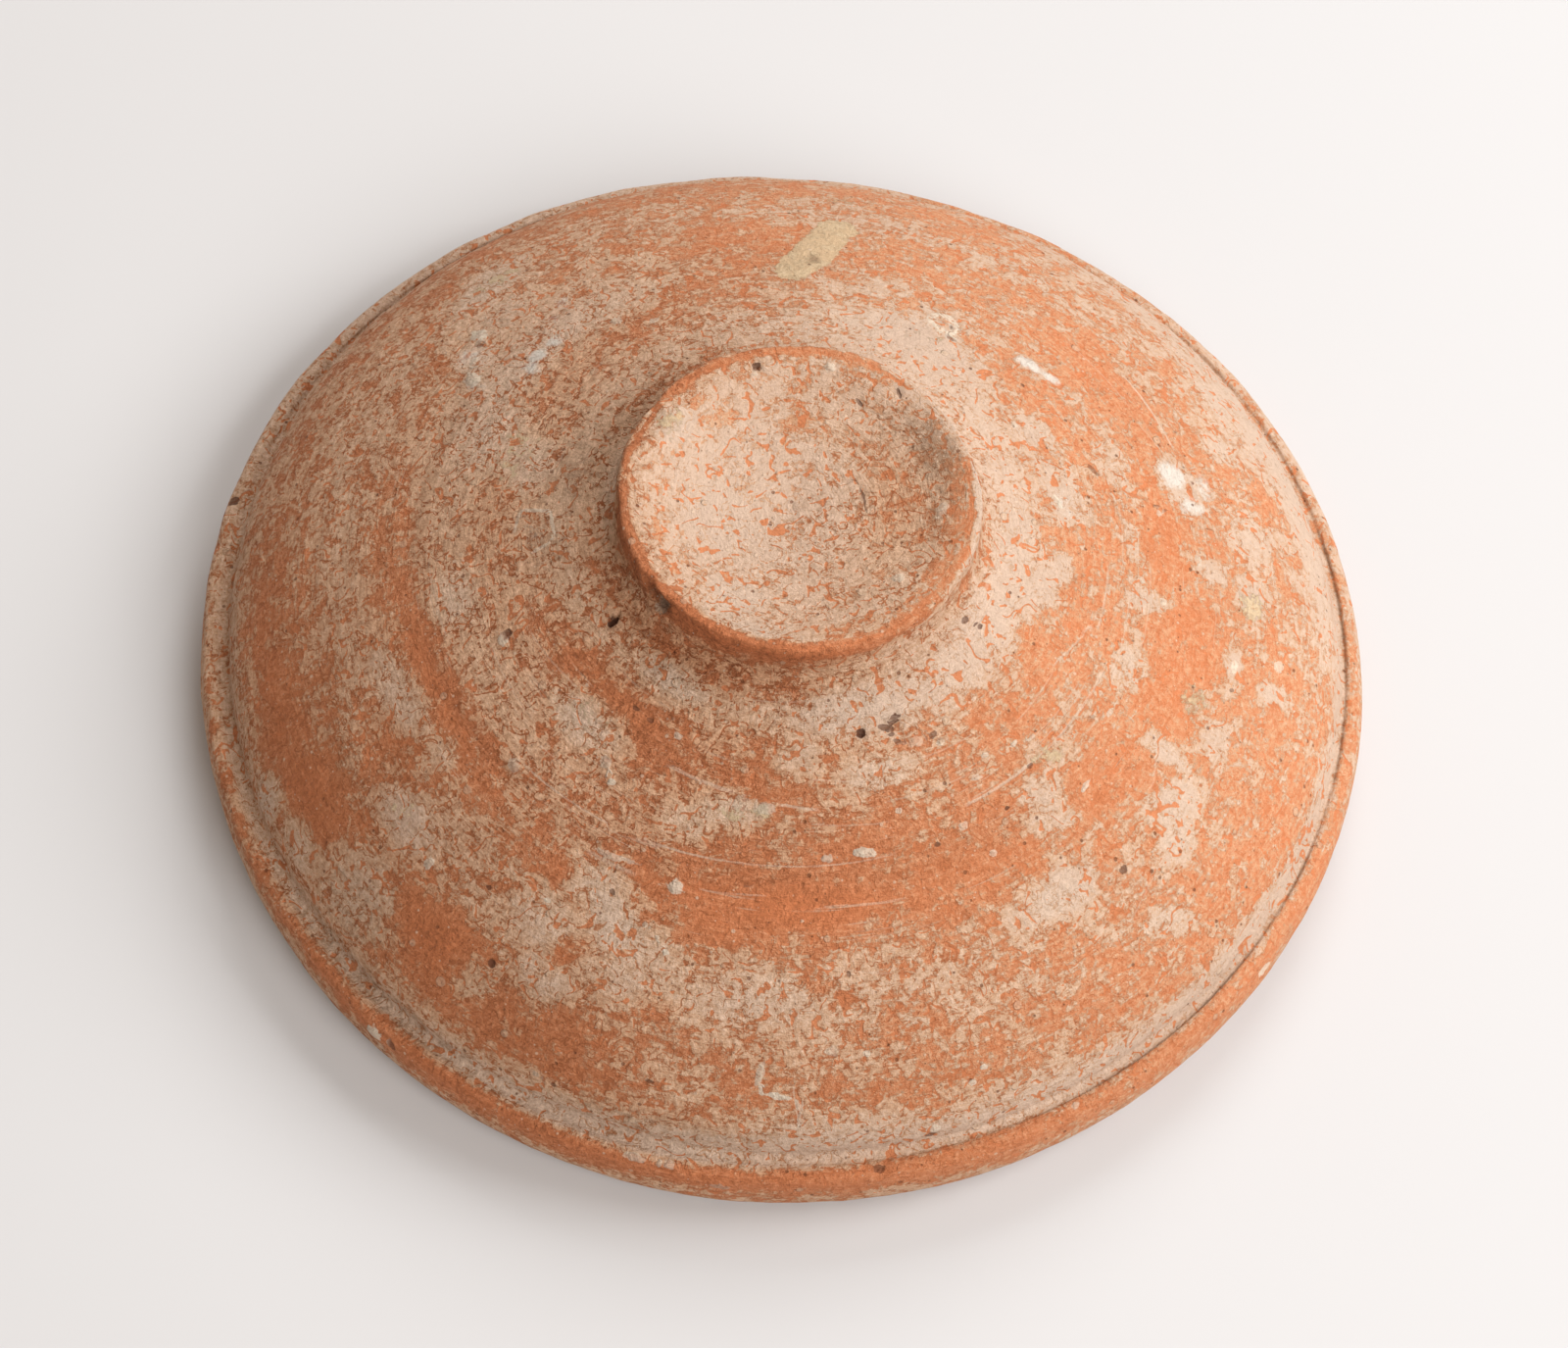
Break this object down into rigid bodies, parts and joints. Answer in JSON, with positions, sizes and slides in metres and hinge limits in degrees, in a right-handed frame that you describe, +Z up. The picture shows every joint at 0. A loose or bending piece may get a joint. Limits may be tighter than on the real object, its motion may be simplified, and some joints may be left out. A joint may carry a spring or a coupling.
{
  "type": "terra sigillata bowl",
  "caption": "Shallow thrown bowl in worn red slip with a small dished foot ring, a spreading wall and a grooved round rim band, turned over on its rim.",
  "frame": {"origin": "middle of the plane that the lip rests on, under the middle of the bowl's bounding box", "axes": "+Z up through the foot ring, out of the bowl's underside; -Y towards the side that the picture was taken from; the hollow opens towards -Z"},
  "size_m": [0.171, 0.169, 0.0524],
  "materials": {
    "red_slip_ceramic": "matt worn red slip with grey-beige burial crust"
  },
  "bodies": {
    "root": {"bowl": "red_slip_ceramic"}
  },
  "joints": []
}
